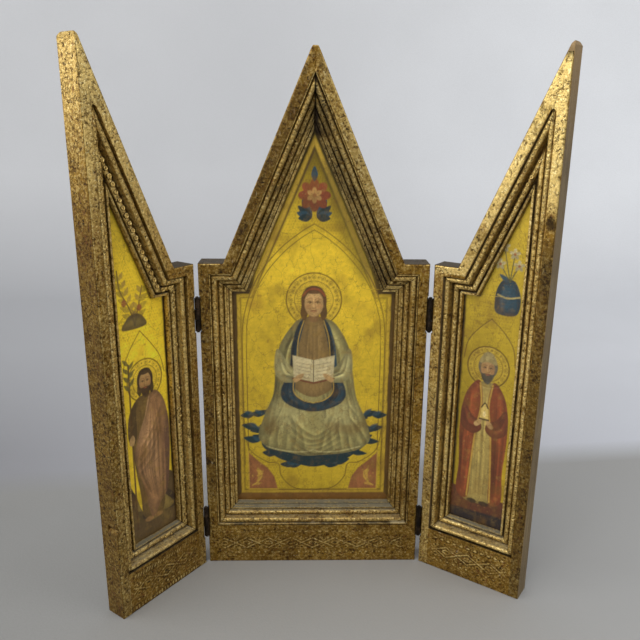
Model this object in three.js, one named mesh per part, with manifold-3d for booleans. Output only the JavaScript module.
// A folding table altarpiece of three gabled wooden panels.
// The centre panel stands in the middle and two half-width wings hang on it
// by four small butt hinges. Every panel is a board with a sunk window, a set
// of mitred moulding strips lining the window, and a thin painted panel.
//
// Millimetres, +Z up, +X to the right of somebody who looks at the front.
// The front faces -Y. The origin is the middle of the centre board's underside.

import * as THREE from 'three';
import * as BufferGeometryUtils from 'three/addons/utils/BufferGeometryUtils.js';
import Module from 'manifold-3d';

// ---------------------------------------------------------------- sizes

const CENTRE_WIDTH = 126;
const WING_WIDTH = 62.5;
const APEX_HEIGHT = 300;          // where the two rakes would meet
const TIP_HEIGHT = 296.3;         // the blunt end of the gable
const WING_TIP_HEIGHT = 296;
const SHOULDER_HEIGHT = 185.8;
const SHOULDER_WIDTH = 13.8;
const BASE_HEIGHT = 25;
const CENTRE_THICKNESS = 15;
const WING_THICKNESS = 13;
const EDGE_SOFTNESS = 0.45;

const FLAT_BAND = 5.6;            // plain band round the window
const GAP = 0.3;                  // between neighbouring pieces
const CENTRE_PICTURE_DEPTH = 10.5;
const WING_PICTURE_DEPTH = 8.2;
const PICTURE_THICKNESS = 1.8;

const HINGE_GAP = 2;              // between the panels' edges
const HINGE_AXIS_DEPTH = -0.4;    // the pins stand just in front of the faces
const HINGE_HEIGHT = 18.6;
const HINGE_LEVELS = { lower: 28, upper: 157.5 };
const KNUCKLE_RADIUS = 1.5;
const PIN_RADIUS = 0.5;
const BORE_RADIUS = 0.8;
const LEAF_THICKNESS = 0.7;
const LEAF_OFFSET = 0.85;
const LEAF_LENGTH = 8.5;
const MORTISE_DEPTH = 0.85;

const LEFT_WING_OPENING = 53.1;   // degrees forward of flat
const RIGHT_WING_OPENING = 35.6;

// ---------------------------------------------------------------- materials

const gilt = new THREE.MeshStandardMaterial({ color: 0xa37f38, roughness: 0.45, metalness: 0.6 });
const giltMoulding = new THREE.MeshStandardMaterial({ color: 0xb38f4c, roughness: 0.4, metalness: 0.7 });
const painted = new THREE.MeshStandardMaterial({ color: 0xb4923a, roughness: 0.5, metalness: 0.2 });
const darkIron = new THREE.MeshStandardMaterial({ color: 0x3a2f25, roughness: 0.55, metalness: 0.8 });

// ---------------------------------------------------------------- solids

const wasm = await Module();
wasm.setup();

function toManifold(geometry) {
  const bare = geometry.clone();
  bare.deleteAttribute('normal');
  bare.deleteAttribute('uv');
  const merged = BufferGeometryUtils.mergeVertices(bare, 1e-4);
  const mesh = new wasm.Mesh({
    numProp: 3,
    vertProperties: new Float32Array(merged.attributes.position.array),
    triVerts: new Uint32Array(merged.index.array)
  });
  return new wasm.Manifold(mesh);
}

function toGeometry(solid) {
  const mesh = solid.getMesh();
  const count = mesh.vertProperties.length / mesh.numProp;
  const positions = new Float32Array(count * 3);
  for (let i = 0; i < count; i++) {
    for (let k = 0; k < 3; k++) {
      positions[3 * i + k] = mesh.vertProperties[mesh.numProp * i + k];
    }
  }
  const geometry = new THREE.BufferGeometry();
  geometry.setAttribute('position', new THREE.BufferAttribute(positions, 3));
  geometry.setIndex(new THREE.BufferAttribute(new Uint32Array(mesh.triVerts), 1));
  geometry.computeVertexNormals();
  return geometry;
}

// A slab with the outline in X and Z, from depth y0 to depth y1 along +Y.
function slab(outline, y0, y1, bevel = 0) {
  const shape = new THREE.Shape(outline.map(([x, z]) => new THREE.Vector2(x, z)));
  const options = { depth: y1 - y0 - 2 * bevel, bevelEnabled: bevel > 0, steps: 1 };
  if (bevel > 0) {
    options.bevelThickness = bevel;
    options.bevelSize = bevel;
    options.bevelOffset = -bevel;
    options.bevelSegments = 2;
  }
  const geometry = new THREE.ExtrudeGeometry(shape, options);
  geometry.rotateX(Math.PI / 2);
  geometry.translate(0, y1 - bevel, 0);
  return geometry;
}

function box(x0, x1, y0, y1, z0, z1) {
  const geometry = new THREE.BoxGeometry(x1 - x0, y1 - y0, z1 - z0);
  geometry.translate((x0 + x1) / 2, (y0 + y1) / 2, (z0 + z1) / 2);
  return geometry;
}

function upright(radius, z0, z1, segments = 24) {
  const geometry = new THREE.CylinderGeometry(radius, radius, z1 - z0, segments);
  geometry.rotateX(Math.PI / 2);
  geometry.translate(0, 0, (z0 + z1) / 2);
  return geometry;
}

function subtractAll(start, cutters) {
  let result = start;
  for (const cutter of cutters) {
    result = result.subtract(toManifold(cutter));
  }
  return result;
}

function uniteAll(geometries) {
  let result = toManifold(geometries[0]);
  for (const geometry of geometries.slice(1)) {
    result = result.add(toManifold(geometry));
  }
  return result;
}

// ---------------------------------------------------------------- outlines

// Where two lines meet; each is a point and a direction.
function meet(p, d, q, e) {
  const cross = d[0] * e[1] - d[1] * e[0];
  const t = ((q[0] - p[0]) * e[1] - (q[1] - p[1]) * e[0]) / cross;
  return [p[0] + t * d[0], p[1] + t * d[1]];
}

// Moves every side of an anticlockwise outline inward by its own distance.
function inset(outline, distances) {
  const count = outline.length;
  const sides = outline.map((p, i) => {
    const q = outline[(i + 1) % count];
    const length = Math.hypot(q[0] - p[0], q[1] - p[1]);
    const along = [(q[0] - p[0]) / length, (q[1] - p[1]) / length];
    const start = [p[0] - along[1] * distances[i], p[1] + along[0] * distances[i]];
    return { start, along };
  });
  return outline.map((_, i) => {
    const before = sides[(i + count - 1) % count];
    const after = sides[i];
    return meet(before.start, before.along, after.start, after.along);
  });
}

// The centre panel with a sharp gable, anticlockwise from the bottom left.
const half = CENTRE_WIDTH / 2;
const centreFrame = {
  outline: [
    [-half, 0],
    [half, 0],
    [half, SHOULDER_HEIGHT],
    [half - SHOULDER_WIDTH, SHOULDER_HEIGHT],
    [0, APEX_HEIGHT],
    [-half + SHOULDER_WIDTH, SHOULDER_HEIGHT],
    [-half, SHOULDER_HEIGHT]
  ],
  names: ['bottom', 'right', 'right_shoulder', 'right_rake', 'left_rake', 'left_shoulder', 'left']
};

// A wing, with its hinge edge at x = 0 and its outer edge at x = WING_WIDTH.
const rakeSlope = (APEX_HEIGHT - SHOULDER_HEIGHT) / (half - SHOULDER_WIDTH);
const wingApex = SHOULDER_HEIGHT + (WING_WIDTH - SHOULDER_WIDTH) * rakeSlope;
const wingFrame = {
  outline: [
    [0, 0],
    [WING_WIDTH, 0],
    [WING_WIDTH, wingApex],
    [SHOULDER_WIDTH, SHOULDER_HEIGHT],
    [0, SHOULDER_HEIGHT]
  ],
  names: ['bottom', 'outer', 'rake', 'shoulder', 'hinge']
};

// The same distance on every side, but the bottom side starts above the base.
function windowAt(frame, distance) {
  const distances = frame.outline.map(() => distance);
  distances[0] = BASE_HEIGHT - FLAT_BAND + distance;
  return inset(frame.outline, distances);
}

function onRake(z) {
  return (APEX_HEIGHT - z) / rakeSlope;
}

// The real outline of the centre board, with its worn blunt tip.
function centreOutline() {
  const top = TIP_HEIGHT;
  return [
    [-half, 0],
    [half, 0],
    [half, SHOULDER_HEIGHT],
    [half - SHOULDER_WIDTH, SHOULDER_HEIGHT],
    [onRake(top - 1.4), top - 1.4],
    [onRake(top) - 0.3, top],
    [-onRake(top) + 0.3, top],
    [-onRake(top - 1.4), top - 1.4],
    [-half + SHOULDER_WIDTH, SHOULDER_HEIGHT],
    [-half, SHOULDER_HEIGHT]
  ];
}

function wingOutline() {
  const top = WING_TIP_HEIGHT;
  const onWingRake = (z) => half - onRake(z);
  return [
    [0, 0],
    [WING_WIDTH, 0],
    [WING_WIDTH, top - 1.8],
    [WING_WIDTH - 0.9, top],
    [onWingRake(top - 1.2), top - 1.2],
    [SHOULDER_WIDTH, SHOULDER_HEIGHT],
    [0, SHOULDER_HEIGHT]
  ];
}

// ---------------------------------------------------------------- mouldings

function arc(cx, cy, rx, ry, from, to, steps) {
  const points = [];
  for (let i = 0; i <= steps; i++) {
    const angle = THREE.MathUtils.degToRad(from + (to - from) * i / steps);
    points.push([cx + rx * Math.cos(angle), cy - ry * Math.sin(angle)]);
  }
  return points;
}

// Sections: distance inward from the panel's edge, then depth below its face.
function centreSection() {
  const back = CENTRE_PICTURE_DEPTH - GAP;
  return [
    [FLAT_BAND + GAP, back],
    [FLAT_BAND + GAP, 3.2],
    ...arc(7.6, 2.9, 1.3, 1.3, 180, 0, 8),
    [9.05, 5.6],
    ...arc(10.95, 6.0, 1.65, 1.6, 165, 10, 9),
    [12.95, 6.5],
    [13.05, 6.1],
    [13.5, 6.1],
    [13.7, 6.9],
    [14.05, 6.9],
    [14.15, 5.9],
    [15.05, 5.9],
    [15.2, 8.1],
    [15.75, 8.4],
    [15.95, 7.7],
    [17.1, 7.7],
    [17.25, back]
  ];
}

function wingSection() {
  const back = WING_PICTURE_DEPTH - GAP;
  return [
    [FLAT_BAND + GAP, back],
    [FLAT_BAND + GAP, 3.0],
    ...arc(7.45, 2.7, 1.2, 1.2, 180, 0, 8),
    [8.85, 4.4],
    [9.15, 5.1],
    [9.55, 5.35],
    ...arc(11.2, 5.8, 1.5, 1.4, 160, 10, 9),
    [12.9, 6.1],
    [13.2, 6.5],
    [13.6, 6.5],
    [13.85, 5.2],
    [14.9, 5.2],
    [15.15, back]
  ];
}

function signedVolume(points, triangles) {
  let sum = 0;
  for (const [a, b, c] of triangles) {
    const [p, q, r] = [points[a], points[b], points[c]];
    sum += p[0] * (q[1] * r[2] - q[2] * r[1]);
    sum += p[1] * (q[2] * r[0] - q[0] * r[2]);
    sum += p[2] * (q[0] * r[1] - q[1] * r[0]);
  }
  return sum / 6;
}

function closedGeometry(points, triangles) {
  const outward = signedVolume(points, triangles) > 0;
  const faces = outward ? triangles : triangles.map(([a, b, c]) => [a, c, b]);
  const geometry = new THREE.BufferGeometry();
  geometry.setAttribute('position', new THREE.Float32BufferAttribute(points.flat(), 3));
  geometry.setIndex(faces.flat());
  geometry.computeVertexNormals();
  return geometry;
}

// How far a strip's end is pulled back along its side, so that its mitre keeps
// half a gap from its neighbour's.
function mitreTrim(outline, i) {
  const count = outline.length;
  const corner = outline[i];
  const before = outline[(i + count - 1) % count];
  const after = outline[(i + 1) % count];
  const a = Math.atan2(before[1] - corner[1], before[0] - corner[0]);
  const b = Math.atan2(after[1] - corner[1], after[0] - corner[0]);
  return GAP / 2 / Math.abs(Math.sin((a - b) / 2));
}

// One mitred strip: the section carried along a side of the window.
function mitredStrip(frame, side, section, place) {
  const count = frame.outline.length;
  const next = (side + 1) % count;
  const startTrim = mitreTrim(frame.outline, side);
  const endTrim = mitreTrim(frame.outline, next);
  const starts = [];
  const ends = [];
  for (const [distance, depth] of section) {
    const corners = windowAt(frame, distance);
    const [p, q] = [corners[side], corners[next]];
    const length = Math.hypot(q[0] - p[0], q[1] - p[1]);
    const [ux, uz] = [(q[0] - p[0]) / length, (q[1] - p[1]) / length];
    starts.push(place(p[0] + ux * startTrim, depth, p[1] + uz * startTrim));
    ends.push(place(q[0] - ux * endTrim, depth, q[1] - uz * endTrim));
  }
  const n = section.length;
  const contour = section.map(([d, y]) => new THREE.Vector2(d, y));
  const cap = THREE.ShapeUtils.triangulateShape(contour, []);
  const triangles = [];
  for (let i = 0; i < n; i++) {
    const j = (i + 1) % n;
    triangles.push([i, j, n + j]);
    triangles.push([i, n + j, n + i]);
  }
  const winding = THREE.ShapeUtils.isClockWise(contour) ? -1 : 1;
  for (const [a, b, c] of cap) {
    const [u, v] = winding > 0 ? [c, b] : [b, c];
    triangles.push([a, u, v]);
    triangles.push([n + a, n + v, n + u]);
  }
  return closedGeometry([...starts, ...ends], triangles);
}

// ---------------------------------------------------------------- hinges

// Three knuckles: the fixed leaf carries the outer two, the moving one the middle.
function knuckleSpans(moving, z0, z1) {
  const third = (z1 - z0) / 3;
  if (moving) {
    return [[z0 + third + GAP / 2, z1 - third - GAP / 2]];
  }
  return [[z0, z0 + third - GAP / 2], [z1 - third + GAP / 2, z1]];
}

// A leaf beside the pin; toward is -1 or +1 along X, and the pin is at x = y = 0.
function hingeLeaf(moving, toward, level) {
  const z0 = level - HINGE_HEIGHT / 2;
  const z1 = level + HINGE_HEIGHT / 2;
  const near = toward * LEAF_OFFSET;
  const far = toward * (LEAF_OFFSET + LEAF_THICKNESS);
  const [x0, x1] = near < far ? [near, far] : [far, near];
  const solids = [box(x0, x1, 0, LEAF_LENGTH, z0, z1)];
  for (const [a, b] of knuckleSpans(moving, z0, z1)) {
    solids.push(upright(KNUCKLE_RADIUS, a, b));
  }
  const cutters = [upright(BORE_RADIUS, z0 - 1, z1 + 1)];
  for (const [a, b] of knuckleSpans(!moving, z0, z1)) {
    const low = a === z0 ? a - 1 : a - GAP;
    const high = b === z1 ? b + 1 : b + GAP;
    cutters.push(upright(KNUCKLE_RADIUS + GAP, low, high));
  }
  return toGeometry(subtractAll(uniteAll(solids), cutters));
}

function hingePin(level) {
  const z0 = level - HINGE_HEIGHT / 2;
  const z1 = level + HINGE_HEIGHT / 2;
  const profile = [
    [0, z0 - 0.9],
    [0.8, z0 - 0.8],
    [1.0, z0 - GAP],
    [PIN_RADIUS, z0 - GAP],
    [PIN_RADIUS, z1 + GAP],
    [1.0, z1 + GAP],
    [0.8, z1 + 0.8],
    [0, z1 + 0.9]
  ];
  const geometry = new THREE.LatheGeometry(profile.map(([r, z]) => new THREE.Vector2(r, z)), 20);
  geometry.rotateX(Math.PI / 2);
  return geometry;
}

// The pocket in a panel's edge for a leaf and its knuckles.
function mortise(edge, toward, level, faceDepth) {
  const z0 = level - HINGE_HEIGHT / 2 - 1.2;
  const z1 = level + HINGE_HEIGHT / 2 + 1.2;
  const inner = edge + toward * MORTISE_DEPTH;
  const outer = edge - toward * 2;
  const [x0, x1] = inner < outer ? [inner, outer] : [outer, inner];
  return box(x0, x1, faceDepth - 3, faceDepth + LEAF_LENGTH, z0, z1);
}

// ---------------------------------------------------------------- panels

// The board: outline, sunk window, and the thin open mitre at the gable.
function board(outline, frame, thickness, floor, cutters, place) {
  const placed = (points) => points.map(([x, z]) => [place(x, 0, z)[0], z]);
  const face = place(0, 0, 0)[1];
  const body = toManifold(slab(placed(outline), face, face + thickness, EDGE_SOFTNESS));
  const sunk = slab(placed(windowAt(frame, FLAT_BAND)), face - 1, face + floor);
  return toGeometry(subtractAll(body, [sunk, ...cutters]));
}

function picture(frame, depth, place) {
  const outline = windowAt(frame, FLAT_BAND + GAP).map(([x, z]) => [place(x, 0, z)[0], z]);
  const face = place(0, depth, 0)[1];
  return slab(outline, face, face + PICTURE_THICKNESS);
}

function wedge(points, y0, y1) {
  return slab(points, y0, y1);
}

function addMesh(parent, name, geometry, material) {
  const mesh = new THREE.Mesh(geometry, material);
  mesh.name = name;
  parent.add(mesh);
}

// ---------------------------------------------------------------- assembly

const group = new THREE.Group();

const centreFace = -CENTRE_THICKNESS / 2;
const centrePlace = (x, depth, z) => [x, centreFace + depth, z];
const centreCutters = [];
for (const level of Object.values(HINGE_LEVELS)) {
  centreCutters.push(mortise(half, -1, level, centreFace));
  centreCutters.push(mortise(-half, 1, level, centreFace));
}
const windowApex = windowAt(centreFrame, FLAT_BAND)[4][1];
centreCutters.push(box(-0.14, 0.14, centreFace - 1, centreFace + 0.9, windowApex - 1, TIP_HEIGHT - 3));

const centreFloor = CENTRE_PICTURE_DEPTH + PICTURE_THICKNESS + GAP;
const centreBoard = board(
  centreOutline(), centreFrame, CENTRE_THICKNESS, centreFloor, centreCutters, centrePlace
);
addMesh(group, 'centre_board', centreBoard, gilt);
addMesh(group, 'centre_picture', picture(centreFrame, CENTRE_PICTURE_DEPTH, centrePlace), painted);
centreFrame.names.forEach((name, side) => {
  const strip = mitredStrip(centreFrame, side, centreSection(), centrePlace);
  addMesh(group, 'centre_moulding_' + name, strip, giltMoulding);
});

// A slab whose outline is in Y and Z, from x0 to x1 along +X.
function crosswise(outline, x0, x1) {
  const geometry = slab(outline.map(([y, z]) => [-y, z]), x0, x1);
  geometry.rotateZ(-Math.PI / 2);
  return geometry;
}

// Handling has rounded the top of a wing across its thickness. Each cutter
// takes away what lies outside an elliptic corner, in front and behind.
function tipCutters(face, x0, x1, rounding) {
  const top = WING_TIP_HEIGHT;
  const cutters = [];
  const sides = [
    [face, 1, rounding.front],
    [face + WING_THICKNESS, -1, rounding.back]
  ];
  for (const [edge, inward, [deep, high]] of sides) {
    const corner = [];
    for (let i = 0; i <= 5; i++) {
      const turn = Math.PI / 2 * i / 5;
      corner.push([edge + inward * deep * (1 - Math.cos(turn)), top - high * (1 - Math.sin(turn))]);
    }
    cutters.push(crosswise([
      [edge - inward * 1.5, top - high],
      ...corner,
      [edge + inward * deep, top + 1],
      [edge - inward * 1.5, top + 1]
    ], x0, x1));
  }
  return cutters;
}

// A wing is modelled flat beside the centre, then swung forward on its pins.
function addWing(name, side, opening, rounding, damages) {
  const wing = new THREE.Group();
  const axisX = side * (half + HINGE_GAP / 2);
  const axisY = centreFace + HINGE_AXIS_DEPTH;
  wing.position.set(axisX, axisY, 0);
  wing.rotation.z = -side * THREE.MathUtils.degToRad(opening);
  group.add(wing);

  const face = -HINGE_AXIS_DEPTH;
  const place = (x, depth, z) => [side * (x + HINGE_GAP / 2), face + depth, z];
  const cutters = [];
  for (const level of Object.values(HINGE_LEVELS)) {
    cutters.push(mortise(side * HINGE_GAP / 2, side, level, face));
  }
  for (const damage of damages) {
    const points = damage.points.map(([x, z]) => [place(x, 0, z)[0], z]);
    cutters.push(wedge(points, face + damage.from, face + damage.to));
  }
  const tipEnds = [place(WING_WIDTH - 12, 0, 0)[0], place(WING_WIDTH + 2, 0, 0)[0]];
  cutters.push(...tipCutters(face, Math.min(...tipEnds), Math.max(...tipEnds), rounding));
  const floor = WING_PICTURE_DEPTH + PICTURE_THICKNESS + GAP;
  const wingBoard = board(wingOutline(), wingFrame, WING_THICKNESS, floor, cutters, place);
  addMesh(wing, name + '_board', wingBoard, gilt);
  addMesh(wing, name + '_picture', picture(wingFrame, WING_PICTURE_DEPTH, place), painted);
  wingFrame.names.forEach((sideName, index) => {
    const strip = mitredStrip(wingFrame, index, wingSection(), place);
    addMesh(wing, name + '_moulding_' + sideName, strip, giltMoulding);
  });

  for (const [levelName, level] of Object.entries(HINGE_LEVELS)) {
    const hinge = name + '_hinge_' + levelName;
    addMesh(wing, hinge + '_moving_leaf', hingeLeaf(true, side, level), darkIron);
    const still = new THREE.Group();
    still.position.set(axisX, axisY, 0);
    group.add(still);
    addMesh(still, hinge + '_fixed_leaf', hingeLeaf(false, -side, level), darkIron);
    addMesh(still, hinge + '_pin', hingePin(level), darkIron);
  }
}

// A chip out of the left wing's outer edge, and a small dark pit in the right
// wing's band beside the hinge.
const chip = {
  points: [[WING_WIDTH - 1.2, 54], [WING_WIDTH + 1, 50.5], [WING_WIDTH + 1, 57.5]],
  from: -1,
  to: 7
};
const pit = {
  points: [[3.2, 43.6], [5.1, 44.6], [3.4, 47.6]],
  from: -1,
  to: 1.6
};
addWing('left_wing', -1, LEFT_WING_OPENING, { front: [1.8, 3.4], back: [2.6, 3.8] }, [chip]);
addWing('right_wing', 1, RIGHT_WING_OPENING, { front: [3.4, 3.4], back: [3.2, 3.6] }, [pit]);

export default group;
